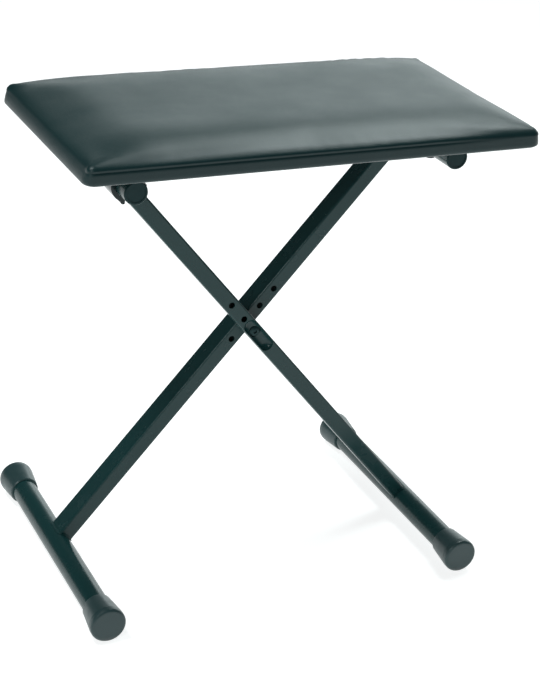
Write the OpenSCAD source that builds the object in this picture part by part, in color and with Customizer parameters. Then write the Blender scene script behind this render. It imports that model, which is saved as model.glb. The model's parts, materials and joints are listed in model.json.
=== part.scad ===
// Folding X-frame piano bench: two crossing steel leg assemblies, a pivot bolt and a padded seat.
// X runs along the seat, Y runs from the front edge to the rear edge, and Z is up from the floor.
// The front leg runs from the right foot to the left top tube, the rear leg the other way.

/* [Seat] */
// Length of the seat along X
seat_w = 443; // [420:1:520]
// Depth of the seat along Y
seat_d = 236; // [230:1:285]
// Distance that the seat's middle lies forward of the foot tubes' middle
seat_forward = 18; // [0:1:24]
// Height of the seat's underside above the floor
seat_under_z = 447; // [443:1:460]
// Height of the upright side band, up to the crease
band_h = 13; // [12.5:0.5:24]
// Height of the padded crown above the crease
crown_h = 16.5; // [8:0.5:40]
// Radius of the seat's corners in plan
seat_corner_r = 10; // [6:1:30]
// Thickness of the vinyl cover
vinyl_t = 1.2; // [0.8:0.1:2]

/* [Legs] */
// How far the legs' crossing lies to the left of the seat's middle
cross_left = 2.5; // [0:0.5:6]
// Distance from the crossing plane to each foot tube's axis
foot_x = 189; // [170:1:200]
// Distance from the crossing plane to each top tube's axis
top_x = 162; // [140:1:180]
// Height of the top tubes' axes above the floor
top_z = 427.5; // [420:0.5:429]
// Width of a leg tube along Y
leg_y = 24; // [22:1:28]
// Thickness of a leg tube in the plane of the cross
leg_n = 16; // [16:1:20]
// Wall of every steel tube
wall = 1.5; // [1.2:0.1:2]
// Gap between the two crossing legs
leg_gap = 2; // [2:0.1:4]
// Pitch of the adjustment holes along a leg
hole_pitch = 21.6; // [20:0.1:30]
// Radius of the adjustment holes
hole_r = 3.25; // [3.25:0.05:3.5]

/* [Cross tubes] */
// Outer radius of the foot tubes
foot_r = 12.5; // [11:0.5:14]
// Length over the foot caps, front to rear
foot_l = 294; // [286:1:340]
// Outer radius of the top tubes
top_r = 11; // [10:0.5:11.5]
// Length of each top tube with its plugs
top_l = 190; // [184:1:200]
// How far behind its leg's middle the front leg's top tube is centred
front_top_shift = 2; // [0:1:4]
// How far before its leg's middle the rear leg's top tube is centred
rear_top_shift = 11; // [4:1:14]
// Outer radius of a foot cap near its end face
cap_r = 17.5; // [16.5:0.5:20]
// Length of a foot cap
cap_l = 34; // [28:1:45]

/* [Brackets] */
// Distance from the rear leg's middle to each hinge clamp
clamp_off = 50; // [49:1:60]
// Distance from the front leg's middle to each snap clip
clip_off = 62; // [45:1:72]
// Width of a clamp or a clip along Y
bracket_w = 20; // [14:1:24]

/* [Hidden] */
$fn = 64;

steel = "#31393b";
rubber = "#3a4244";
black = "#1c2022";
zinc = "#8d9395";
past = 2; // how far a cutter runs past the faces it cuts

// The legs are mirror images about the crossing plane, and cross on it
cross_x = -cross_left;
foot_z = cap_r;
rise = top_z - foot_z;
run = top_x + foot_x;
tilt = atan2(rise, run);
leg_l = sqrt(run * run + rise * rise);
to_foot = leg_l * foot_x / run;
to_top = leg_l * top_x / run;
pivot_z = foot_z + rise * foot_x / run;
front_y = -(leg_y + leg_gap) / 2;
rear_y = (leg_y + leg_gap) / 2;
leg_corner_r = 2.2;
front_face_y = front_y - leg_y / 2;
rear_face_y = rear_y + leg_y / 2;
weld_w = 1.2;
weld_reach = 24;

// Foot caps and tube plugs
cap_floor = 4;
cap_lip_t = 2;
cap_edge = 3;
cap_straight = 7;
plug_flange_t = 1.5;
plug_bevel = 0.7;
plug_flange_r = top_r - 0.3;
plug_l = 10;
plug_dish_r = 8.6;
plug_dish = 0.6;

// Pivot
dimple_r = 7.4;
dimple_lift = 2.4;
dimple_span = 28;
dimple_shift = 4;
spot_r = 5.8;
spot_depth = 5.4;
bolt_r = 3.175;
head_r = 5.2;
head_rim = 1.2;
head_dome = 1.2;
head_play = 0.15;
socket_r = 2.3;
socket_floor = 0.8;
washer_r = 8;
washer_t = 1.2;
nut_r = 6.4;
nut_hex_h = 4.5;
nut_collar_r = 5;
nut_collar_h = 1.8;
bolt_tip = 1.5;
spacer_r = 7.5;
spacer_play = 0.2;
thread_play = 0.03;

// Seat layers, from the underside up
cloth_t = 0.8;
end_wrap = 4.2;
cloth_inset = 10;
hem_w = 26;
hem_z = seat_under_z + cloth_t;
board_z = hem_z + vinyl_t;
crease_z = seat_under_z + band_h;
board_top = crease_z - 1;
crown_steps = 5;
crown_edge = 40;
slice_t = 0.5;
staple_t = 0.7;
staple_w = 11;
staple_leg = 7;
staple_inset = 18;
staple_pitch = 44;

// Clamps, clips and their fasteners
bracket_r = top_r + 4.5;
base_t = 3.5;
base_half = 27;
clamp_play = 0.08;
clip_play = 0.35;
mouth_angle = 42;
mouth_turn = 34;
lip_r = 2.8;
lip_reach = bracket_r - 0.6;
screw_x = 21;
screw_r = 2.5;
screw_head_r = 4.4;
screw_head_h = 2.6;
screw_hole_play = 0.3;
tee_r = 3.6;
tee_l = 10;
tee_flange_r = 8.5;
tee_flange_t = 1.2;
front_top_y = front_y + front_top_shift;
rear_top_y = rear_y - rear_top_shift;
clamp_x = cross_x + top_x;
clip_x = cross_x - top_x;
clamp_ys = [rear_y - clamp_off, rear_y + clamp_off];
clip_ys = [front_y - clip_off, front_y + clip_off];

// ---------- helpers ----------

// Frame of one leg: origin at the pivot, X along the leg; the foot is at s * to_foot,
// the top at -s * to_top, with s = 1 on the front leg and s = -1 on the rear leg
module on_leg(s) {
  translate([cross_x, 0, pivot_z]) rotate([0, s * tilt, 0]) children();
}

// Cylinder along Y, centred at a point
module y_rod(r, l, p) {
  translate(p) rotate([90, 0, 0]) cylinder(r = r, h = l, center = true);
}

// Round steel tube along Y
module y_tube(r, l, p) {
  difference() {
    y_rod(r, l, p);
    y_rod(r - wall, l + past, p);
  }
}

// ---------- leg tubes ----------

// Bar along X with a leg's rounded section, grown outward by t
module leg_bar(l, t) {
  r = leg_corner_r + t;
  w = leg_y + 2 * t;
  h = leg_n + 2 * t;
  rotate([90, 0, 90]) linear_extrude(l, center = true) {
    square([w - 2 * r, h], center = true);
    square([w, h - 2 * r], center = true);
    for (sx = [-1, 1], sy = [-1, 1]) translate([sx * (w / 2 - r), sy * (h / 2 - r)]) circle(r = r);
  }
}

// Hollow rectangular tube whose ends are coped to the round tubes that it meets
module leg_tube(s, y) {
  mid = s * (to_foot - to_top) / 2;
  difference() {
    translate([mid, y, 0]) leg_bar(leg_l, 0);
    translate([mid, y, 0]) leg_bar(leg_l + past, -wall);
    y_rod(foot_r, leg_y + past, [s * to_foot, y, 0]);
    y_rod(top_r, leg_y + past, [-s * to_top, y, 0]);
  }
}

// Through holes at whole pitches from the pivot, counted up the leg
module leg_holes(s, y, places) {
  for (i = places) y_rod(hole_r, leg_y + past, [-s * i * hole_pitch, y, 0]);
}

// Ball-ended dimple, longer toward the foot, with a flat spot face for the bolt head; grown outward by t
module dimple(t) {
  translate([dimple_shift, front_face_y - dimple_lift, 0]) {
    rotate([0, 90, 0]) cylinder(r = dimple_r + t, h = dimple_span, center = true);
    for (e = [-1, 1]) translate([e * dimple_span / 2, 0, 0]) sphere(r = dimple_r + t);
  }
  translate([0, front_face_y + spot_depth + t, 0]) rotate([90, 0, 0])
    cylinder(r = spot_r + t, h = spot_depth + t + past);
}

module front_leg_tube() {
  inside = [4 * dimple_span, leg_y - wall, leg_n - wall];
  color(steel) on_leg(1) difference() {
    union() {
      leg_tube(1, front_y);
      intersection() {
        dimple(wall);
        translate([0, front_y, 0]) cube(inside, center = true);
      }
    }
    dimple(0);
    leg_holes(1, front_y, [0, 1, 2]);
  }
}

module rear_leg_tube() {
  color(steel) on_leg(-1) difference() {
    leg_tube(-1, rear_y);
    leg_holes(-1, rear_y, [-1, 0, 1, 2]);
  }
}

// Bead around the end of a leg, laid on the round tube of radius r at p along the leg
module weld_bead(y, r, p) {
  difference() {
    intersection() {
      translate([p - sign(p) * weld_reach / 2, y, 0]) leg_bar(weld_reach, weld_w);
      y_rod(r + weld_w, leg_y + 2 * weld_w, [p, y, 0]);
    }
    y_rod(r, leg_y + 2 * weld_w + past, [p, y, 0]);
    translate([p, y, 0]) leg_bar(3 * weld_reach, 0);
  }
}

module leg_welds(s, y) {
  color(steel) on_leg(s) {
    weld_bead(y, foot_r, s * to_foot);
    weld_bead(y, top_r, -s * to_top);
  }
}

// ---------- cross tubes, caps and plugs ----------

module foot_tube(x) {
  color(steel) y_tube(foot_r, foot_l - 2 * cap_floor, [cross_x + x, 0, foot_z]);
}

module top_tube(x, y) {
  color(steel) y_tube(top_r, top_l - 2 * plug_flange_t, [cross_x + x, y, top_z]);
}

// Flared rubber cap at x from the crossing plane; e is -1 for the front end and 1 for the rear end
module foot_cap(x, e) {
  edge = [for (i = [0 : 4]) cap_edge * [sin(22.5 * i), 1 - cos(22.5 * i)] + [cap_r - cap_edge, 0]];
  sleeve = [
    [cap_r, cap_straight], [foot_r + cap_lip_t, cap_l - 1], [foot_r + cap_lip_t - 1, cap_l],
    [foot_r, cap_l], [foot_r, cap_floor], [0, cap_floor]
  ];
  color(rubber) translate([cross_x + x, e * foot_l / 2, foot_z]) rotate([e * 90, 0, 0])
    rotate_extrude() polygon(concat([[0, 0]], edge, sleeve));
}

// Flat plug with a shallow dish in its face
module tube_plug(x, y, e) {
  color(black) translate([cross_x + x, y + e * top_l / 2, top_z]) rotate([e * 90, 0, 0]) difference() {
    union() {
      cylinder(r1 = plug_flange_r - plug_bevel, r2 = plug_flange_r, h = plug_bevel);
      translate([0, 0, plug_bevel]) cylinder(r = plug_flange_r, h = plug_flange_t - plug_bevel);
      cylinder(r = top_r - wall, h = plug_flange_t + plug_l);
    }
    translate([0, 0, -past]) cylinder(r = plug_dish_r, h = past + plug_dish);
    translate([0, 0, plug_flange_t + 1]) cylinder(r = top_r - 2 * wall, h = plug_l + past);
  }
}

// ---------- pivot ----------

// Low-headed bolt through both legs, with a hexagon socket
module pivot_bolt() {
  seat_y = front_face_y + spot_depth - head_play;
  tip_y = rear_face_y + washer_t + nut_hex_h + nut_collar_h + bolt_tip;
  ball_r = (head_r * head_r + head_dome * head_dome) / (2 * head_dome);
  color(zinc) translate([cross_x, seat_y, pivot_z]) rotate([90, 0, 0]) difference() {
    union() {
      cylinder(r = head_r, h = head_rim);
      intersection() {
        translate([0, 0, head_rim + head_dome - ball_r]) sphere(r = ball_r);
        cylinder(r = head_r, h = head_rim + head_dome + 1);
      }
      translate([0, 0, seat_y - tip_y]) cylinder(r = bolt_r, h = tip_y - seat_y + 0.5);
    }
    translate([0, 0, socket_floor]) rotate([0, 0, 30]) cylinder(r = socket_r, h = 2 * head_r, $fn = 6);
  }
}

// Plain ring along Y whose front face is at y
module y_ring(r, bore, t, y) {
  translate([cross_x, y + t, pivot_z]) rotate([90, 0, 0]) difference() {
    cylinder(r = r, h = t);
    translate([0, 0, -past]) cylinder(r = bore, h = t + 2 * past);
  }
}

module pivot_spacer() {
  t = leg_gap - spacer_play;
  color("#d8d8d2") y_ring(spacer_r, bolt_r + 0.2, t, rear_y - leg_y / 2 - t);
}

module pivot_washer() {
  color(zinc) y_ring(washer_r, bolt_r + 0.2, washer_t, rear_face_y);
}

// Lock nut: a hexagon with a round collar
module pivot_nut() {
  color(zinc) translate([cross_x, rear_face_y + washer_t, pivot_z]) rotate([-90, 0, 0]) difference() {
    union() {
      cylinder(r = nut_r, h = nut_hex_h, $fn = 6);
      cylinder(r = nut_collar_r, h = nut_hex_h + nut_collar_h);
    }
    translate([0, 0, -past]) cylinder(r = bolt_r + thread_play, h = 4 * nut_hex_h);
  }
}

// ---------- seat ----------

// Round-cornered outline of the seat at an inset from its side
module seat_outline(inset) {
  r = max(seat_corner_r - inset, 2);
  w = seat_w - 2 * inset;
  d = seat_d - 2 * inset;
  square([w - 2 * r, d], center = true);
  square([w, d - 2 * r], center = true);
  for (sx = [-1, 1], sy = [-1, 1])
    translate([sx * (w / 2 - r), sy * (d / 2 - r)]) circle(r = r, $fn = 24);
}

module seat_plate(inset, z0, z1) {
  translate([0, -seat_forward, z0]) linear_extrude(z1 - z0) seat_outline(inset);
}

// Pad whose sides round over in a quarter ellipse, from z0 up to z1
module crown(inset, z0, z1) {
  hull() for (i = [0 : crown_steps]) {
    a = 90 * i / crown_steps;
    z = z0 + (z1 - z0 - slice_t) * sin(a);
    seat_plate(inset + crown_edge * (1 - cos(a)), z, z + slice_t);
  }
}

// The eight screw places as [x, y]
screw_places = concat(
  [for (y = clamp_ys, e = [-1, 1]) [clamp_x + e * screw_x, y]],
  [for (y = clip_ys, e = [-1, 1]) [clip_x + e * screw_x, y]]
);

// All that lies between the two upright planes at the board's ends
module between_board_ends() {
  length = seat_w - 2 * end_wrap;
  height = board_top - board_z + 2 * past;
  translate([-length / 2, -seat_d, board_z - past]) cube([length, 2 * seat_d, height]);
}

module seat_board() {
  color("#b99a6b") difference() {
    intersection() {
      seat_plate(vinyl_t, board_z, board_top);
      between_board_ends();
    }
    for (p = screw_places) translate([p.x, p.y, board_z - past]) cylinder(r = tee_r, h = 3 * band_h);
    for (p = screw_places)
      translate([p.x, p.y, board_top - tee_flange_t]) cylinder(r = tee_flange_r, h = band_h);
  }
}

// Pad on the board, wrapped down over the board's two ends
module seat_foam() {
  color("#d9cfa6") {
    crown(vinyl_t, board_top, crease_z + crown_h - vinyl_t);
    difference() {
      seat_plate(vinyl_t, board_z, board_top);
      between_board_ends();
    }
  }
}

// Vinyl skin over the pad and round the board, turned under as a hem
module seat_cover() {
  color("#2f3a3c") difference() {
    union() {
      seat_plate(0, hem_z, crease_z);
      crown(0, board_top, crease_z + crown_h);
    }
    seat_plate(vinyl_t, board_z, board_top);
    crown(vinyl_t, board_top, crease_z + crown_h - vinyl_t);
    seat_plate(hem_w, hem_z - past, board_z + 1);
  }
}

module seat_bottom_cloth() {
  color("#15181a") difference() {
    seat_plate(cloth_inset, seat_under_z, hem_z);
    for (p = screw_places)
      translate([p.x, p.y, seat_under_z - past]) cylinder(r = screw_r + screw_hole_play, h = band_h);
  }
}

// One staple whose bridge lies under the cloth and whose legs go up into the board
module staple(x, y, turn) {
  translate([x, y, seat_under_z - staple_t]) rotate([0, 0, turn]) {
    translate([-staple_w / 2, -staple_t / 2, 0]) cube([staple_w, staple_t, staple_t]);
    for (e = [-1, 1])
      translate([e * (staple_w - staple_t) / 2 - staple_t / 2, -staple_t / 2, 0])
        cube([staple_t, staple_t, staple_leg]);
  }
}

module cover_staples() {
  nx = floor((seat_w / 2 - 2 * staple_inset) / staple_pitch);
  ny = floor((seat_d / 2 - 2 * staple_inset) / staple_pitch);
  color("#b9bec0") translate([0, -seat_forward, 0]) {
    for (i = [-nx : nx], e = [-1, 1]) staple(i * staple_pitch, e * (seat_d / 2 - staple_inset), 0);
    for (i = [-ny : ny], e = [-1, 1]) staple(e * (seat_w / 2 - staple_inset), i * staple_pitch, 90);
  }
}

// ---------- brackets ----------

// Solid saddle under the seat around a tube at x, centred at y
module saddle(x, y) {
  translate([x, y + bracket_w / 2, top_z]) rotate([90, 0, 0]) linear_extrude(bracket_w) {
    circle(r = bracket_r);
    translate([-bracket_r, 0]) square([2 * bracket_r, seat_under_z - top_z - base_t + 1]);
    translate([-base_half, seat_under_z - top_z - base_t]) square([2 * base_half, base_t]);
  }
}

module bracket_screw_holes(x, y) {
  for (e = [-1, 1]) translate([x + e * screw_x, y, seat_under_z - base_t - past])
    cylinder(r = screw_r + screw_hole_play, h = base_t + 2 * past);
}

// Closed clamp in which the rear leg's top tube turns
module hinge_clamp(y) {
  color(black) difference() {
    saddle(clamp_x, y);
    y_rod(top_r + clamp_play, bracket_w + past, [clamp_x, y, top_z]);
    bracket_screw_holes(clamp_x, y);
  }
}

// Open clip with flared lips, into which the front leg's top tube snaps from below and inside
module snap_clip(y) {
  reach = 2 * bracket_r;
  color(black) difference() {
    union() {
      saddle(clip_x, y);
      for (e = [-1, 1]) {
        a = mouth_turn + e * (mouth_angle + 6);
        y_rod(lip_r, bracket_w, [clip_x + lip_reach * sin(a), y, top_z - lip_reach * cos(a)]);
      }
    }
    y_rod(top_r + clip_play, bracket_w + past, [clip_x, y, top_z]);
    translate([clip_x, y + bracket_w / 2 + past, top_z]) rotate([90, 0, 0])
      linear_extrude(bracket_w + 2 * past) rotate(mouth_turn)
        polygon([[0, 0], [-reach * tan(mouth_angle), -reach], [reach * tan(mouth_angle), -reach]]);
    bracket_screw_holes(clip_x, y);
  }
}

// Pan-head screws up through the brackets into the tee nuts
module bracket_screws() {
  color(black) for (p = screw_places) translate([p.x, p.y, seat_under_z - base_t]) {
    translate([0, 0, -screw_head_h]) difference() {
      cylinder(r = screw_head_r, h = screw_head_h);
      translate([0, 0, -past]) cylinder(r = screw_r - 0.6, h = past + 1.4, $fn = 6);
    }
    cylinder(r = screw_r, h = board_top - seat_under_z + base_t - 2);
  }
}

module tee_nuts() {
  color(zinc) for (p = screw_places) translate([p.x, p.y, board_top - tee_l]) difference() {
    union() {
      cylinder(r = tee_r, h = tee_l);
      translate([0, 0, tee_l - tee_flange_t]) cylinder(r = tee_flange_r, h = tee_flange_t);
    }
    translate([0, 0, -past]) cylinder(r = screw_r + thread_play, h = tee_l + 2 * past);
  }
}

// ---------- drawing ----------

front_leg_tube();
top_tube(-top_x, front_top_y);  // front_leg_top_tube
foot_tube(foot_x);  // front_leg_foot_tube
leg_welds(1, front_y);  // front_leg_welds
rear_leg_tube();
top_tube(top_x, rear_top_y);  // rear_leg_top_tube
foot_tube(-foot_x);  // rear_leg_foot_tube
leg_welds(-1, rear_y);  // rear_leg_welds
foot_cap(-foot_x, -1);  // foot_cap_left_front
foot_cap(-foot_x, 1);  // foot_cap_left_rear
foot_cap(foot_x, -1);  // foot_cap_right_front
foot_cap(foot_x, 1);  // foot_cap_right_rear
tube_plug(-top_x, front_top_y, -1);  // tube_plug_left_front
tube_plug(-top_x, front_top_y, 1);  // tube_plug_left_rear
tube_plug(top_x, rear_top_y, -1);  // tube_plug_right_front
tube_plug(top_x, rear_top_y, 1);  // tube_plug_right_rear
pivot_bolt();
pivot_spacer();
pivot_washer();
pivot_nut();
seat_board();
seat_foam();
seat_cover();
seat_bottom_cloth();
cover_staples();
hinge_clamp(clamp_ys[0]);  // hinge_clamp_front
hinge_clamp(clamp_ys[1]);  // hinge_clamp_rear
snap_clip(clip_ys[0]);  // snap_clip_front
snap_clip(clip_ys[1]);  // snap_clip_rear
bracket_screws();
tee_nuts();
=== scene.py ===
"""Looks of the folding piano bench: materials, the sewn seat, soft studio light and the camera."""

import json
import math

import bmesh
import bpy
from mathutils import Matrix, Vector, noise


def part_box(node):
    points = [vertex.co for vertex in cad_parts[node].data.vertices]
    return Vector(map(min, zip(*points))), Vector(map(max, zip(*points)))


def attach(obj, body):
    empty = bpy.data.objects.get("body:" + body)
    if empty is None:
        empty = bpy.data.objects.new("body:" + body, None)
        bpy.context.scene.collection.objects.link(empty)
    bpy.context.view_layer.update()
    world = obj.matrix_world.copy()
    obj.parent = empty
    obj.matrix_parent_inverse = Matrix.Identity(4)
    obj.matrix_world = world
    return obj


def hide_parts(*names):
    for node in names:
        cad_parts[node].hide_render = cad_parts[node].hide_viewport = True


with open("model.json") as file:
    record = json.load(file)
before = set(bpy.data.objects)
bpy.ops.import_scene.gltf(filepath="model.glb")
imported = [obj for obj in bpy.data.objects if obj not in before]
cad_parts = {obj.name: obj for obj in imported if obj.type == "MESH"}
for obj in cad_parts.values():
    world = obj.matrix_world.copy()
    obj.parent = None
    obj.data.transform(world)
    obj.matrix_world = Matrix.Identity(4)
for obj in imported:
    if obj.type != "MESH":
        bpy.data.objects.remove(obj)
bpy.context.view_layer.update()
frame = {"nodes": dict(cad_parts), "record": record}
nodes = frame["nodes"]
scene = bpy.context.scene
MM = 0.001

# ---------- camera ----------

CAMERA_AT = Vector((-0.6733, -1.4072, 0.9535))
CAMERA_AZIMUTH = math.radians(-26.37)
CAMERA_ELEVATION = math.radians(25.53)
CAMERA_ROLL = math.radians(4.33)
FOCAL_MM = 89.54
SENSOR_MM = 36.0
FRAMING_SHIFT = (0.0023, 0.0017)


def add_camera():
    """The camera at the photograph's place, looking along its azimuth and down by its elevation."""
    data = bpy.data.cameras.new("camera")
    data.sensor_width = SENSOR_MM
    data.lens = FOCAL_MM
    data.shift_x, data.shift_y = FRAMING_SHIFT
    camera = bpy.data.objects.new("camera", data)
    scene.collection.objects.link(camera)
    away = math.cos(CAMERA_ELEVATION)
    forward = Vector((
        -math.sin(CAMERA_AZIMUTH) * away,
        math.cos(CAMERA_AZIMUTH) * away,
        -math.sin(CAMERA_ELEVATION),
    ))
    right = Vector((math.cos(CAMERA_AZIMUTH), math.sin(CAMERA_AZIMUTH), 0))
    up = right.cross(forward)
    tilted_right = right * math.cos(CAMERA_ROLL) + up * math.sin(CAMERA_ROLL)
    tilted_up = up * math.cos(CAMERA_ROLL) - right * math.sin(CAMERA_ROLL)
    turn = Matrix((tilted_right, tilted_up, -forward)).transposed().to_4x4()
    camera.matrix_world = Matrix.Translation(CAMERA_AT) @ turn
    scene.camera = camera


# ---------- node helpers ----------

# A noise stays mostly between these two values.
NOISE_LOW = 0.3
NOISE_HIGH = 0.7


def map_range(tree, value, low, high, to_low, to_high, interpolation="LINEAR"):
    """The value from low to high, mapped to the range from to_low to to_high."""
    node = tree.nodes.new("ShaderNodeMapRange")
    node.interpolation_type = interpolation
    for i, number in enumerate((low, high, to_low, to_high)):
        node.inputs[i + 1].default_value = number
    tree.links.new(value, node.inputs[0])
    return node.outputs[0]


def math_node(tree, operation, a, b):
    """The result of a math operation on two numbers or sockets."""
    node = tree.nodes.new("ShaderNodeMath")
    node.operation = operation
    for i, term in enumerate((a, b)):
        if isinstance(term, (int, float)):
            node.inputs[i].default_value = term
        else:
            tree.links.new(term, node.inputs[i])
    return node.outputs[0]


class Shader:
    """A Principled material and short ways to add noise, ramps and bump to it."""

    def __init__(self, name, **sockets):
        self.material = bpy.data.materials.new(name)
        self.material.use_nodes = True
        self.tree = self.material.node_tree
        self.bsdf = self.tree.nodes["Principled BSDF"]
        for socket, value in sockets.items():
            self.bsdf.inputs[socket.replace("_", " ")].default_value = value
        self.place = self.tree.nodes.new("ShaderNodeTexCoord").outputs["Object"]

    def stretched(self, x=1.0, y=1.0, z=1.0):
        """Object coordinates scaled axis by axis. A pattern is long where the number is small."""
        node = self.tree.nodes.new("ShaderNodeMapping")
        node.inputs["Scale"].default_value = (x, y, z)
        self.tree.links.new(self.place, node.inputs["Vector"])
        return node.outputs["Vector"]

    def noise(self, scale, detail=3.0, rough=0.5, at=None):
        node = self.tree.nodes.new("ShaderNodeTexNoise")
        node.inputs["Scale"].default_value = scale
        node.inputs["Detail"].default_value = detail
        node.inputs["Roughness"].default_value = rough
        self.tree.links.new(at or self.place, node.inputs["Vector"])
        return node.outputs["Fac"]

    def cells(self, scale, feature="F1"):
        """Distance in a pattern of cells, from each cell's point or from its edge."""
        node = self.tree.nodes.new("ShaderNodeTexVoronoi")
        node.feature = feature
        node.inputs["Scale"].default_value = scale
        self.tree.links.new(self.place, node.inputs["Vector"])
        return node.outputs["Distance"]

    def bands(self, scale, axis):
        node = self.tree.nodes.new("ShaderNodeTexWave")
        node.bands_direction = axis
        node.inputs["Scale"].default_value = scale
        self.tree.links.new(self.place, node.inputs["Vector"])
        return node.outputs["Fac"]

    def above_object_origin(self):
        node = self.tree.nodes.new("ShaderNodeSeparateXYZ")
        self.tree.links.new(self.place, node.inputs[0])
        return node.outputs["Z"]

    def span(self, value, low, high, to_low, to_high):
        return map_range(self.tree, value, low, high, to_low, to_high)

    def mask(self, value, start, full):
        """0 where the value is below start, 1 where it is past full."""
        return self.span(value, start, full, 0.0, 1.0)

    def faded(self, value, share):
        return math_node(self.tree, "MULTIPLY", value, share)

    def math(self, operation, a, b):
        return math_node(self.tree, operation, a, b)

    def mix(self, factor, first, second):
        """The colour between two colours or sockets."""
        node = self.tree.nodes.new("ShaderNodeMix")
        node.data_type = "RGBA"
        self.tree.links.new(factor, node.inputs["Factor"])
        for name, colour in (("A", first), ("B", second)):
            socket = [s for s in node.inputs if s.name == name and s.type == "RGBA"][0]
            if isinstance(colour, tuple):
                socket.default_value = (*colour, 1.0)
            else:
                self.tree.links.new(colour, socket)
        return [s for s in node.outputs if s.type == "RGBA"][0]

    def colour(self, socket):
        self.tree.links.new(socket, self.bsdf.inputs["Base Color"])

    def roughness(self, socket):
        self.tree.links.new(socket, self.bsdf.inputs["Roughness"])

    def uneven_roughness(self, pattern, at_low, at_high):
        """Roughness that follows a pattern over the range that a noise mostly covers."""
        self.roughness(self.span(pattern, NOISE_LOW, NOISE_HIGH, at_low, at_high))

    def bump(self, height, distance, strength, under=None):
        """Raises the surface by height times distance, on top of another bump if one is given."""
        node = self.tree.nodes.new("ShaderNodeBump")
        node.inputs["Distance"].default_value = distance
        node.inputs["Strength"].default_value = strength
        self.tree.links.new(height, node.inputs["Height"])
        if under is not None:
            self.tree.links.new(under, node.inputs["Normal"])
        self.tree.links.new(node.outputs["Normal"], self.bsdf.inputs["Normal"])
        return node.outputs["Normal"]


# ---------- materials ----------
# Each is named after the record's material slot that it fills.


def black_powder_coat():
    dark = (0.006, 0.035, 0.036)
    light = (0.010, 0.042, 0.043)
    dust = (0.040, 0.068, 0.070)
    s = Shader("black_powder_coat", Specular_IOR_Level=0.31)
    cloud = s.noise(scale=9.0, detail=4.0)
    speck = s.mask(s.noise(scale=1300.0, detail=2.0), start=0.62, full=0.72)
    s.colour(s.mix(s.faded(speck, 0.15), s.mix(cloud, dark, light), dust))
    s.uneven_roughness(s.noise(scale=60.0, detail=4.0), 0.21, 0.30)
    peel = s.bump(s.noise(scale=420.0, detail=1.0, rough=0.4), distance=0.08 * MM, strength=0.18)
    s.bump(s.noise(scale=2600.0, detail=1.0), distance=0.02 * MM, strength=0.25, under=peel)
    return s.material


def cap_rubber():
    dark = (0.020, 0.048, 0.051)
    light = (0.032, 0.062, 0.065)
    dust = (0.16, 0.17, 0.165)
    dusty_height = 6 * MM
    s = Shader("cap_rubber", Specular_IOR_Level=0.42)
    base = s.mix(s.noise(scale=40.0, detail=4.0), dark, light)
    low = s.span(s.above_object_origin(), 0.0, dusty_height, 1.0, 0.0)
    dusty = s.math("MULTIPLY", low, s.noise(scale=240.0, detail=5.0, rough=0.7))
    s.colour(s.mix(s.faded(dusty, 0.8), base, dust))
    s.uneven_roughness(s.noise(scale=120.0, detail=3.0), 0.28, 0.40)
    s.bump(s.noise(scale=1100.0, detail=2.0, rough=0.6), distance=0.06 * MM, strength=0.3)
    return s.material


def plug_plastic():
    dark = (0.003, 0.022, 0.024)
    light = (0.006, 0.030, 0.032)
    s = Shader("plug_plastic", Specular_IOR_Level=0.18)
    s.colour(s.mix(s.noise(scale=90.0, detail=3.0), dark, light))
    s.uneven_roughness(s.noise(scale=300.0, detail=3.0), 0.36, 0.5)
    s.bump(s.cells(scale=1700.0), distance=0.05 * MM, strength=0.5)
    return s.material


def black_bolt():
    coated = (0.010, 0.034, 0.036)
    worn = (0.12, 0.15, 0.15)
    s = Shader("black_bolt", Metallic=0.5, Specular_IOR_Level=0.3)
    wear = s.mask(s.noise(scale=420.0, detail=4.0, rough=0.65), start=0.6, full=0.75)
    s.colour(s.mix(s.faded(wear, 0.3), coated, worn))
    s.uneven_roughness(s.noise(scale=500.0, detail=3.0), 0.28, 0.45)
    s.bump(s.noise(scale=1800.0, detail=2.0), distance=0.04 * MM, strength=0.5)
    return s.material


def zinc_steel():
    dark = (0.46, 0.48, 0.50)
    light = (0.62, 0.63, 0.62)
    s = Shader("zinc_steel", Metallic=1.0)
    s.colour(s.mix(s.noise(scale=160.0, detail=3.0), dark, light))
    brushed = s.noise(scale=700.0, detail=4.0, rough=0.6, at=s.stretched(z=6))
    s.uneven_roughness(brushed, 0.26, 0.42)
    scratches = s.noise(scale=900.0, detail=3.0, rough=0.6, at=s.stretched(z=8))
    s.bump(scratches, distance=0.05 * MM, strength=0.4)
    return s.material


def nylon():
    dark = (0.62, 0.62, 0.58)
    light = (0.74, 0.73, 0.69)
    s = Shader("nylon", Subsurface_Weight=0.2, Subsurface_Scale=2 * MM)
    s.colour(s.mix(s.noise(scale=200.0, detail=3.0), dark, light))
    s.uneven_roughness(s.noise(scale=400.0, detail=3.0), 0.38, 0.5)
    s.bump(s.noise(scale=1200.0, detail=2.0), distance=0.04 * MM, strength=0.5)
    return s.material


def plywood():
    dark_grain = (0.40, 0.26, 0.13)
    light_grain = (0.62, 0.46, 0.27)
    glue_line = (0.26, 0.16, 0.08)
    s = Shader("plywood", Specular_IOR_Level=0.3)
    grain = s.noise(scale=60.0, detail=6.0, rough=0.65, at=s.stretched(x=0.06))
    plies = s.mask(s.bands(scale=55.0, axis="Z"), start=0.35, full=0.65)
    s.colour(s.mix(s.faded(plies, 0.45), s.mix(grain, dark_grain, light_grain), glue_line))
    s.uneven_roughness(grain, 0.6, 0.8)
    s.bump(grain, distance=0.2 * MM, strength=0.6)
    return s.material


def foam():
    shaded_pore = (0.42, 0.36, 0.20)
    wall = (0.74, 0.67, 0.45)
    s = Shader("foam", Specular_IOR_Level=0.1)
    pores = s.mask(s.cells(scale=650.0), start=0.1, full=0.6)
    # Painted shade: the pores take a darker colour than the cell walls.
    s.colour(s.mix(pores, shaded_pore, wall))
    s.roughness(s.span(pores, 0.0, 1.0, 0.95, 0.8))
    s.bump(pores, distance=0.5 * MM, strength=0.8)
    return s.material


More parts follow.
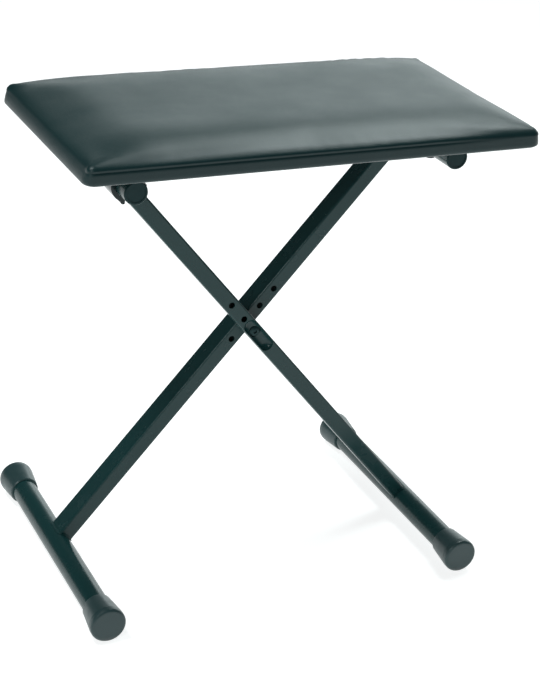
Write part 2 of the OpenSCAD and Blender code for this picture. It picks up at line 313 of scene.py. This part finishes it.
def black_vinyl():
    dark = (0.003, 0.021, 0.023)
    light = (0.005, 0.028, 0.030)
    shaded_valley = (0.003, 0.010, 0.011)
    valley_width = 0.09
    s = Shader("black_vinyl", Specular_IOR_Level=0.3, Coat_Weight=0.08, Coat_Roughness=0.3)
    base = s.mix(s.noise(scale=7.0, detail=5.0, rough=0.6), dark, light)
    grain = s.cells(scale=820.0, feature="DISTANCE_TO_EDGE")
    valley = s.span(grain, 0.0, valley_width, 1.0, 0.0)
    # Painted shade: the grain's valleys are darkened. The same valleys are also made rougher.
    s.colour(s.mix(s.faded(valley, 0.35), base, shaded_valley))
    polish = s.span(s.noise(scale=22.0, detail=4.0), NOISE_LOW, NOISE_HIGH, 0.34, 0.41)
    s.roughness(s.math("ADD", polish, s.faded(valley, 0.12)))
    leather = s.bump(s.mask(grain, start=0.0, full=0.25), distance=0.10 * MM, strength=0.45)
    s.bump(s.noise(scale=45.0, detail=3.0), distance=0.4 * MM, strength=0.2, under=leather)
    return s.material


def dust_cloth():
    shaded_gap = (0.010, 0.012, 0.013)
    fibre = (0.045, 0.050, 0.052)
    s = Shader("dust_cloth", Specular_IOR_Level=0.15, Sheen_Weight=0.3, Sheen_Roughness=0.6)
    along = s.noise(scale=900.0, detail=3.0, rough=0.6, at=s.stretched(x=0.08))
    across = s.noise(scale=900.0, detail=3.0, rough=0.6, at=s.stretched(y=0.08))
    fibres = s.math("MAXIMUM", along, across)
    # Painted shade: the gaps between the fibres take a near-black colour.
    s.colour(s.mix(s.mask(fibres, start=0.4, full=0.75), shaded_gap, fibre))
    s.uneven_roughness(fibres, 0.95, 0.75)
    s.bump(fibres, distance=0.3 * MM, strength=0.7)
    return s.material


def staple_wire():
    dark = (0.50, 0.51, 0.52)
    light = (0.66, 0.67, 0.68)
    s = Shader("staple_wire", Metallic=1.0)
    s.colour(s.mix(s.noise(scale=500.0, detail=3.0), dark, light))
    s.uneven_roughness(s.noise(scale=1500.0, detail=3.0), 0.25, 0.4)
    s.bump(s.noise(scale=2400.0, detail=2.0), distance=0.03 * MM, strength=0.4)
    return s.material


def clip_plastic():
    dark = (0.001, 0.010, 0.012)
    light = (0.003, 0.016, 0.018)
    s = Shader("clip_plastic", Specular_IOR_Level=0.32)
    s.colour(s.mix(s.noise(scale=120.0, detail=3.0), dark, light))
    s.uneven_roughness(s.noise(scale=350.0, detail=3.0), 0.09, 0.18)
    s.bump(s.noise(scale=260.0, detail=2.0), distance=0.06 * MM, strength=0.35)
    return s.material


MATERIALS = {
    make.__name__: make()
    for make in (
        black_powder_coat, cap_rubber, plug_plastic, black_bolt, zinc_steel, nylon,
        plywood, foam, black_vinyl, dust_cloth, staple_wire, clip_plastic,
    )
}


def dress_cad_nodes():
    """Every CAD node takes the material of the slot that the record gives it."""
    for part in frame["record"]["subparts"]:
        node = nodes[part["node"]]
        for place in node.material_slots:
            place.material = MATERIALS[part["material_slot"]]


# ---------- seat shape ----------

cover_low, cover_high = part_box("seat_cover")
_, board_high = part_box("seat_board")
SEAT_MIDDLE = (cover_low + cover_high) / 2
HALF_X = (cover_high.x - cover_low.x) / 2
HALF_Y = (cover_high.y - cover_low.y) / 2
CREASE_OVER_BOARD = 1 * MM
CREASE_Z = board_high.z + CREASE_OVER_BOARD
CROWN_H = cover_high.z - CREASE_Z
CORNER_R = 10 * MM

# The pad first rolls up steeply over a few millimetres, for a share of its height, and then
# slopes to its middle.
SIDE_ROLL = 1.8 * MM
FRONT_ROLL_SHARE = 0.30
REAR_ROLL_SHARE = 0.56
SIDE_SLOPE = 62 * MM
SIDE_POWER = 2.3
END_ROLL = 3.0 * MM
END_ROLL_SHARE = 0.15
LEFT_SLOPE = 75 * MM
RIGHT_SLOPE = 55 * MM
END_POWER = 2.5
CORNER_FULLNESS = 1.1
CORNER_ROLL_SHARE = 0.30
CORNER_REACH = 14 * MM
NEAR_ZERO = 1e-6

# Distances of the top's grid lines from the rim, close together where the pad rolls over.
RIM_STEPS_MM = (0.0, 0.35, 0.9, 1.7, 2.8, 4.3, 6.3, 9.0, 12.5, 17.0)
TOP_CELL = 5 * MM


def grid_lines(half):
    """Places from -half to half, close together near both rims and even between them."""
    rim = [half - step * MM for step in RIM_STEPS_MM]
    inner = 2 * rim[-1]
    count = round(inner / TOP_CELL)
    middle = [-rim[-1] + inner * i / count for i in range(1, count)]
    return [-x for x in rim] + middle + rim[::-1]


def round_corner(x, y, half_x, half_y, r):
    """Moves a point of the plain rectangle onto the one with round corners."""
    s = (abs(x) - (half_x - r)) / r
    t = (abs(y) - (half_y - r)) / r
    if s <= 0 or t <= 0:
        return x, y
    s, t = s * math.sqrt(1 - t * t / 2), t * math.sqrt(1 - s * s / 2)
    return math.copysign(half_x - r + r * s, x), math.copysign(half_y - r + r * t, y)


def outward(x, y, half_x, half_y, r):
    """The direction in plan from the seat's side outward, at a point on its outline."""
    s = max(abs(x) - (half_x - r), 0.0)
    t = max(abs(y) - (half_y - r), 0.0)
    way = Vector((math.copysign(s, x), math.copysign(t, y), 0))
    return way.normalized()


def edge_distance(x, y):
    """How far a point lies inside the seat's outline, in plan."""
    s = abs(x) - (HALF_X - CORNER_R)
    t = abs(y) - (HALF_Y - CORNER_R)
    if s > 0 and t > 0:
        return CORNER_R - math.hypot(s, t)
    return min(HALF_X - abs(x), HALF_Y - abs(y))


def crown_height(x, y, inside):
    """Height of the pad, from 0 at the crease to 1 in the middle.

    x and y are from the seat's middle, and inside is the distance from the outline.
    """
    from_end = HALF_X - abs(x)
    from_side = HALF_Y - abs(y)
    end_slope = LEFT_SLOPE if x < 0 else RIGHT_SLOPE
    side = 1 - (1 - min(from_side / SIDE_SLOPE, 1)) ** SIDE_POWER
    end = 1 - (1 - min(from_end / end_slope, 1)) ** END_POWER
    if side <= 0 or end <= 0:
        slope = 0.0
    else:
        slope = (side ** -CORNER_FULLNESS + end ** -CORNER_FULLNESS - 1) ** (-1 / CORNER_FULLNESS)
    toward_end = (from_side + NEAR_ZERO) / (from_side + from_end + 2 * NEAR_ZERO)
    corner = math.exp(-math.hypot(from_end, from_side) / CORNER_REACH)
    side_share = FRONT_ROLL_SHARE if y < 0 else REAR_ROLL_SHARE
    share = side_share * (1 - toward_end) + END_ROLL_SHARE * toward_end
    share += (CORNER_ROLL_SHARE - share) * corner
    roll_width = SIDE_ROLL * (1 - toward_end) + END_ROLL * toward_end
    roll = 1 - math.exp(-max(inside, 0.0) / roll_width)
    return share * roll + (1 - share) * slope


def crown_grid(inset, lift):
    """The top of the pad as a bmesh; gives the mesh and the loop of its rim."""
    half_x = HALF_X - inset
    half_y = HALF_Y - inset
    r = CORNER_R - inset
    xs = grid_lines(half_x)
    ys = grid_lines(half_y)
    bm = bmesh.new()
    rows = []
    for y in ys:
        row = []
        for x in xs:
            px, py = round_corner(x, y, half_x, half_y, r)
            inside = edge_distance(px, py) - inset
            height = crown_height(px * HALF_X / half_x, py * HALF_Y / half_y, inside)
            z = lift + CREASE_Z + (CROWN_H - inset) * height
            row.append(bm.verts.new((px + SEAT_MIDDLE.x, py + SEAT_MIDDLE.y, z)))
        rows.append(row)
    for j in range(len(ys) - 1):
        for i in range(len(xs) - 1):
            bm.faces.new((rows[j][i], rows[j][i + 1], rows[j + 1][i + 1], rows[j + 1][i]))
    rim = rows[0][:-1] + [row[-1] for row in rows[:-1]]
    rim += rows[-1][:0:-1] + [row[0] for row in rows[:0:-1]]
    return bm, rim


def new_piece(name, bm, material_name):
    """A smooth-shaded object made from a bmesh, which is freed."""
    mesh = bpy.data.meshes.new(name)
    bm.to_mesh(mesh)
    bm.free()
    mesh.polygons.foreach_set("use_smooth", [True] * len(mesh.polygons))
    mesh.materials.append(MATERIALS[material_name])
    piece = bpy.data.objects.new(name, mesh)
    scene.collection.objects.link(piece)
    return piece


# ---------- cloth simulation of the pad's top ----------

PRESSURE = 4.0
CLOTH_FRAMES = 20
MOST_SWELL = 1.0 * MM
HELD_RIM = 3 * MM
SMOOTH_PASSES = 14
SMOOTH_FACTOR = 0.5
SMOOTH_FROM = 14 * MM


def swell(piece):
    """Lets air pressure lift the pad's top between its held rim, and caps how far it moves."""
    rest = [v.co.copy() for v in piece.data.vertices]
    held = piece.vertex_groups.new(name="held")
    for v in piece.data.vertices:
        near = v.co.z < CREASE_Z + HELD_RIM
        held.add([v.index], 1.0 if near else 0.0, "REPLACE")
    cloth = piece.modifiers.new("swell", "CLOTH")
    settings = cloth.settings
    settings.quality = 6
    settings.mass = 0.35
    settings.tension_stiffness = 25
    settings.compression_stiffness = 25
    settings.shear_stiffness = 12
    settings.bending_stiffness = 10
    settings.vertex_group_mass = held.name
    settings.use_pressure = True
    settings.uniform_pressure_force = PRESSURE
    settings.effector_weights.gravity = 0.0
    cloth.collision_settings.use_collision = False
    cloth.point_cache.frame_start = 1
    cloth.point_cache.frame_end = CLOTH_FRAMES
    for step in range(1, CLOTH_FRAMES + 1):
        scene.frame_set(step)
    shaped = piece.evaluated_get(bpy.context.evaluated_depsgraph_get())
    moved = [v.co.copy() for v in shaped.data.vertices]
    piece.modifiers.remove(cloth)
    piece.vertex_groups.clear()
    scene.frame_set(1)
    for v, start, end in zip(piece.data.vertices, rest, moved):
        way = end - start
        if way.length > MOST_SWELL:
            way *= MOST_SWELL / way.length
        v.co = start + way


def smooth_top(piece):
    """Evens out the simulated top, away from its rim."""
    bm = bmesh.new()
    bm.from_mesh(piece.data)
    inner = [v for v in bm.verts if edge_distance(*(v.co - SEAT_MIDDLE).xy) > SMOOTH_FROM]
    for _ in range(SMOOTH_PASSES):
        bmesh.ops.smooth_vert(bm, verts=inner, factor=SMOOTH_FACTOR, use_axis_z=True)
    bm.to_mesh(piece.data)
    bm.free()


# ---------- seat cover ----------

VINYL_T = 0.96 * MM

# The crease between the pad and the band, and the bulge of the pad over it. Shares are of the
# pad's height.
GROOVE = 0.9 * MM
GROOVE_SHARE = 0.05
CREASE_RUN_OUT = 110 * MM
BULGE = 1.0 * MM
BULGE_REACH = 9 * MM
BULGE_SHARE = 0.75
LEAST_CORNER_R = 0.5 * MM

# The band. The places from 0 to 1 are shares of its height, from its lower edge.
END_TUCK = 3.0 * MM
TUCK_FROM = 0.3
TUCK_POWER = 1.6
CREASE_FROM = 0.84
CREASE_POWER = 1.5
HEM_ROUND = 2.4 * MM
HEM_ROUND_SHARE = 0.22
BAND_HEIGHTS = (0.96, 0.91, 0.84, 0.72, 0.55, 0.38, 0.22, 0.12, 0.05, 0.0)
HEM_INSETS = (5 * MM, 12 * MM, 26 * MM)

# Small gathers along the front and rear rims. They come and go in patches along the rim.
PUCKER_DEPTH = 0.7 * MM
PUCKER_PITCH = 17 * MM
PUCKER_REACH = 30 * MM
PUCKER_MIDDLE = 0.3 * PUCKER_REACH
PUCKER_SPREAD = 0.35 * PUCKER_REACH
PUCKER_END_GAP = 3 * CORNER_R
PUCKER_SHARPNESS = 3
PUCKER_SWAY = 5
PATCH_LEVEL = 0.35
PATCH_SWING = 1.3

# Slow unevenness of the whole top, and quicker ripples along its rims.
WAVE_DEPTH = 0.6 * MM
WAVE_FROM_RIM = 25 * MM
RIPPLE_DEPTH = 0.5 * MM
RIPPLE_MIDDLE = 20 * MM
RIPPLE_SPREAD = 13 * MM

# Noise cells per metre. Each pattern reads its own part of the noise, so that none repeats another.
SWAY_CELLS = 14
PATCH_CELLS = 7
WAVE_CELLS = 11
RIPPLE_CELLS_X = 34
RIPPLE_CELLS_Y = 9
SWAY_PART = (3, 0.5)
PATCH_PART = (9, 2.5)
WAVE_PART = 7.3
RIPPLE_PART = 3.1


def noise_along(x, y, cells, part):
    """Noise that changes along x, and differs between the front and the rear."""
    across, layer = part
    return noise.noise(Vector((x * cells, math.copysign(across, y), layer)))


def pucker(x, y):
    """Depth of the small gathers that run in from the front and rear rims."""
    if HALF_Y - abs(y) > PUCKER_REACH or HALF_X - abs(x) < PUCKER_END_GAP:
        return 0.0
    fade = math.exp(-((edge_distance(x, y) - PUCKER_MIDDLE) / PUCKER_SPREAD) ** 2)
    sway = PUCKER_SWAY * noise_along(x, y, SWAY_CELLS, SWAY_PART)
    fold = 0.5 + 0.5 * math.cos(2 * math.pi * x / PUCKER_PITCH + sway)
    patch = max(0.0, PATCH_LEVEL + PATCH_SWING * noise_along(x, y, PATCH_CELLS, PATCH_PART))
    return PUCKER_DEPTH * fade * fold ** PUCKER_SHARPNESS * patch


def wave(x, y):
    """Unevenness of the stuffed top: slow waves, and quicker ripples near the rims."""
    inside = edge_distance(x, y)
    slow = noise.noise(Vector((x * WAVE_CELLS, y * WAVE_CELLS, WAVE_PART)))
    quick = noise.noise(Vector((x * RIPPLE_CELLS_X, y * RIPPLE_CELLS_Y, RIPPLE_PART)))
    off_rim = min(inside / WAVE_FROM_RIM, 1.0)
    near_rim = math.exp(-((inside - RIPPLE_MIDDLE) / RIPPLE_SPREAD) ** 2)
    return WAVE_DEPTH * (off_rim * slow) + RIPPLE_DEPTH * (near_rim * quick)


def crease_depth(x):
    """Share of the crease's full depth: it runs out before the seat's right end."""
    return min(max((HALF_X - x) / CREASE_RUN_OUT, 0.0), 1.0) ** 2


def shape_pad(bm):
    """Rolls the pad's rim out over the crease, tucks it in at the crease, and gathers its vinyl."""
    for v in bm.verts:
        x = v.co.x - SEAT_MIDDLE.x
        y = v.co.y - SEAT_MIDDLE.y
        inside = edge_distance(x, y)
        rise = (v.co.z - CREASE_Z) / CROWN_H
        r = max(CORNER_R - inside, LEAST_CORNER_R)
        side = outward(x, y, HALF_X - inside, HALF_Y - inside, r)
        reach = max(0.0, 1 - inside / BULGE_REACH)
        belly = math.sin(math.pi * min(rise / BULGE_SHARE, 1.0)) * reach * abs(side.y)
        groove = GROOVE * side.y ** 2 * math.exp(-rise / GROOVE_SHARE)
        v.co += side * (BULGE * belly - groove) * crease_depth(x)
        v.co -= side * END_TUCK * side.x ** 4 * reach
        v.co.z += wave(x, y) - pucker(x, y)


def rim_loop(bm):
    """The open rim's points in order, starting at the front left."""
    rim = [v for v in bm.verts if v.is_boundary]
    loop = [min(rim, key=lambda v: (v.co.y, v.co.x))]
    while len(loop) < len(rim):
        for edge in loop[-1].link_edges:
            other = edge.other_vert(loop[-1])
            if edge.is_boundary and other not in loop[-2:]:
                loop.append(other)
                break
    return loop


def band_inset(height, side, x):
    """How far the band lies inside the outline, at a height from 0 to 1 of the band."""
    turned = HEM_ROUND * max(0.0, 1 - height / HEM_ROUND_SHARE) ** 2
    crease = GROOVE * max(0.0, (height - CREASE_FROM) / (1 - CREASE_FROM)) ** CREASE_POWER
    lean = END_TUCK * max(0.0, (height - TUCK_FROM) / (1 - TUCK_FROM)) ** TUCK_POWER
    return turned + side.y ** 2 * crease * crease_depth(x) + side.x ** 4 * lean


def add_ring(bm, previous, outline, insets, z):
    """One more ring of the band or the hem, joined to the ring before it."""
    ring = []
    for at, inset in zip(outline, insets):
        px = SEAT_MIDDLE.x + at.x * (HALF_X - inset) / HALF_X
        py = SEAT_MIDDLE.y + at.y * (HALF_Y - inset) / HALF_Y
        ring.append(bm.verts.new((px, py, z)))
    for i in range(len(ring)):
        j = (i + 1) % len(ring)
        bm.faces.new((previous[j], previous[i], ring[i], ring[j]))
    return ring


def add_band(bm, loop, low):
    """The upright band from the crease down, its turned lower edge, and the hem under the board."""
    outline = []
    sides = []
    for v in loop:
        x = v.co.x - SEAT_MIDDLE.x
        y = v.co.y - SEAT_MIDDLE.y
        side = outward(x, y, HALF_X, HALF_Y, CORNER_R)
        outline.append(Vector((x, y, 0)) + side * band_inset(1.0, side, x))
        sides.append(side)
    ring = loop
    for height in BAND_HEIGHTS:
        insets = [band_inset(height, side, at.x) for at, side in zip(outline, sides)]
        ring = add_ring(bm, ring, outline, insets, low + height * (CREASE_Z - low))
    for inset in HEM_INSETS:
        ring = add_ring(bm, ring, outline, [inset] * len(outline), low)


def build_cover():
    """The vinyl over the pad, down round the board and in under it as a hem."""
    bm, _ = crown_grid(inset=0.0, lift=0.0)
    piece = new_piece("seat_vinyl", bm, "black_vinyl")
    swell(piece)
    smooth_top(piece)
    bm = bmesh.new()
    bm.from_mesh(piece.data)
    shape_pad(bm)
    add_band(bm, rim_loop(bm), cover_low.z)
    bmesh.ops.recalc_face_normals(bm, faces=bm.faces)
    bm.to_mesh(piece.data)
    bm.free()
    piece.data.polygons.foreach_set("use_smooth", [True] * len(piece.data.polygons))
    shell = piece.modifiers.new("vinyl_thickness", "SOLIDIFY")
    shell.thickness = VINYL_T
    shell.offset = -1.0
    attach(piece, "seat")
    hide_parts("seat_cover")


# How far the foam lies inside and below the cover.
FOAM_INSET = 2.5 * MM
FOAM_DROP = 0.6 * MM


def build_foam():
    """The foam pad inside the cover, on the board."""
    bm, rim = crown_grid(inset=FOAM_INSET, lift=-FOAM_DROP)
    shape_pad(bm)
    base = [bm.verts.new((v.co.x, v.co.y, board_high.z)) for v in rim]
    for i in range(len(rim)):
        j = (i + 1) % len(rim)
        bm.faces.new((rim[j], rim[i], base[i], base[j]))
    bm.faces.new(base)
    bmesh.ops.recalc_face_normals(bm, faces=bm.faces)
    piece = new_piece("foam_pad", bm, "foam")
    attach(piece, "seat")
    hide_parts("seat_foam")


# ---------- dust cloth ----------

CLOTH_CELL = 4 * MM
CLOTH_T = 0.35 * MM
CLOTH_GAP = 0.05 * MM
FOLD_W = 9 * MM
FOLD_STEP = 0.22 * MM
SAG = 0.25 * MM
SAG_CELLS = 18
SAG_PART = 1.7
STAPLE_PITCH = 40 * MM
STAPLE_PRESS = 0.4
STAPLE_PULL = 0.8 * MM
PULL_REACH = 6 * MM


def cloth_point(x, y, half_x, half_y):
    """Pulls a point of the flat cloth in at its edge's staples.

    Gives its place in plan, how near a staple's middle it is, and whether it is in the folded edge.
    """
    from_end = half_x - abs(x)
    from_side = half_y - abs(y)
    near_side = from_side < from_end
    inside = min(from_end, from_side)
    at_staple = math.cos(2 * math.pi * (x if near_side else y) / STAPLE_PITCH) ** 2
    pull = STAPLE_PULL * at_staple * math.exp(-inside / PULL_REACH)
    if near_side:
        y -= math.copysign(pull, y)
    else:
        x -= math.copysign(pull, x)
    return x, y, at_staple, inside < FOLD_W


def cloth_drop(x, y, at_staple, folded):
    """How far the cloth hangs below the board: a doubled edge, and some slack inside it."""
    if folded:
        return FOLD_STEP * (1 - STAPLE_PRESS * at_staple)
    return max(SAG * (0.5 + noise.noise(Vector((x * SAG_CELLS, y * SAG_CELLS, SAG_PART)))), 0.0)


def build_bottom_cloth():
    """The thin cloth stapled under the board, with its edges folded in and pulled at the staples."""
    low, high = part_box("seat_bottom_cloth")
    middle = (low + high) / 2
    half_x = (high.x - low.x) / 2
    half_y = (high.y - low.y) / 2
    count_x = round(2 * half_x / CLOTH_CELL)
    count_y = round(2 * half_y / CLOTH_CELL)
    bm = bmesh.new()
    rows = []
    for j in range(count_y + 1):
        row = []
        for i in range(count_x + 1):
            x = half_x * (2 * i / count_x - 1)
            y = half_y * (2 * j / count_y - 1)
            px, py, at_staple, folded = cloth_point(x, y, half_x, half_y)
            z = high.z - CLOTH_T - CLOTH_GAP - cloth_drop(x, y, at_staple, folded)
            row.append(bm.verts.new((middle.x + px, middle.y + py, z)))
        rows.append(row)
    for j in range(count_y):
        for i in range(count_x):
            bm.faces.new((rows[j][i], rows[j + 1][i], rows[j + 1][i + 1], rows[j][i + 1]))
    piece = new_piece("bottom_cloth", bm, "dust_cloth")
    shell = piece.modifiers.new("cloth_thickness", "SOLIDIFY")
    shell.thickness = CLOTH_T
    shell.offset = -1.0
    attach(piece, "seat")
    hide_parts("seat_bottom_cloth")


# ---------- floor, light and world ----------

FLOOR_HALF = 14.0
FLOOR_COLOUR = (0.62, 0.62, 0.62, 1.0)
FLOOR_ROUGHNESS = 0.9
FLOOR_SPECULAR = 0.1
FLOOR_GLOW = 0.80
WHITE = (1.0, 1.0, 1.0, 1.0)
ROOM_DIM = 0.06
PALE_WALL = (0.86, 0.87, 0.87, 1.0)
BACKDROP_BRIGHT = 3.3
LIGHT_COLOUR = (0.90, 1.0, 1.0)

# The backdrop's glow rises along each axis of the view direction from the first value to the second.
BACKDROP_REACH = (("X", -0.15, 0.70), ("Y", 0.0, 0.5), ("Z", 0.50, 0.20), ("Z", -0.10, 0.25))

# Each light's name, place, aim, size and power in watts.
LIGHTS = (
    ("key_left", (-1.7, -1.5, 1.5), (0, 0, 0.3), (0.7, 0.7), 13),
    ("rear_right", (1.12, 0.70, 2.13), (0.1, -0.1, 0.45), (1.1, 0.6), 27),
    ("top_left", (-0.8, 0.1, 1.9), (-0.2, -0.1, 0.45), (0.35, 0.35), 14),
)


def add_floor():
    """A plain pale floor, which isn't part of the bench."""
    bm = bmesh.new()
    bmesh.ops.create_grid(bm, x_segments=1, y_segments=1, size=FLOOR_HALF)
    mesh = bpy.data.meshes.new("floor")
    bm.to_mesh(mesh)
    bm.free()
    floor = bpy.data.objects.new("floor", mesh)
    scene.collection.objects.link(floor)
    material = bpy.data.materials.new("floor_white")
    material.use_nodes = True
    bsdf = material.node_tree.nodes["Principled BSDF"]
    bsdf.inputs["Base Color"].default_value = FLOOR_COLOUR
    bsdf.inputs["Roughness"].default_value = FLOOR_ROUGHNESS
    bsdf.inputs["Specular IOR Level"].default_value = FLOOR_SPECULAR
    bsdf.inputs["Emission Color"].default_value = WHITE
    bsdf.inputs["Emission Strength"].default_value = FLOOR_GLOW
    mesh.materials.append(material)


def add_area_light(name, at, aim, size, power):
    """A rectangular light at a place, turned toward its aim."""
    data = bpy.data.lights.new(name, "AREA")
    data.shape = "RECTANGLE"
    data.size, data.size_y = size
    data.energy = power
    data.color = LIGHT_COLOUR
    light = bpy.data.objects.new(name, data)
    light.location = at
    light.rotation_euler = (Vector(aim) - Vector(at)).to_track_quat("-Z", "Y").to_euler()
    scene.collection.objects.link(light)


def add_world():
    """A dim studio with a bright low backdrop behind the bench, stronger to the right.

    The camera itself sees a pale wall, so the other views have a pale background too.
    """
    world = bpy.data.worlds.new("studio")
    scene.world = world
    world.use_nodes = True
    tree = world.node_tree
    background = tree.nodes["Background"]
    place = tree.nodes.new("ShaderNodeTexCoord").outputs["Generated"]
    split = tree.nodes.new("ShaderNodeSeparateXYZ")
    tree.links.new(place, split.inputs[0])
    glow = 1.0
    for axis, low, high in BACKDROP_REACH:
        ramp = map_range(tree, split.outputs[axis], low, high, 0.0, 1.0, "SMOOTHSTEP")
        glow = math_node(tree, "MULTIPLY", glow, ramp)
    level = map_range(tree, glow, 0.0, 1.0, ROOM_DIM, BACKDROP_BRIGHT)
    tree.links.new(level, background.inputs["Strength"])
    background.inputs["Color"].default_value = (*LIGHT_COLOUR, 1.0)
    pale = tree.nodes.new("ShaderNodeBackground")
    pale.inputs["Color"].default_value = PALE_WALL
    to_camera = tree.nodes.new("ShaderNodeLightPath").outputs["Is Camera Ray"]
    seen = tree.nodes.new("ShaderNodeMixShader")
    tree.links.new(to_camera, seen.inputs["Fac"])
    tree.links.new(background.outputs[0], seen.inputs[1])
    tree.links.new(pale.outputs[0], seen.inputs[2])
    tree.links.new(seen.outputs[0], tree.nodes["World Output"].inputs["Surface"])


dress_cad_nodes()
build_cover()
build_foam()
build_bottom_cloth()
add_camera()
add_floor()
add_world()
for light in LIGHTS:
    add_area_light(*light)
scene.view_settings.view_transform = "Standard"
scene.view_settings.look = "None"

bpy.context.view_layer.update()
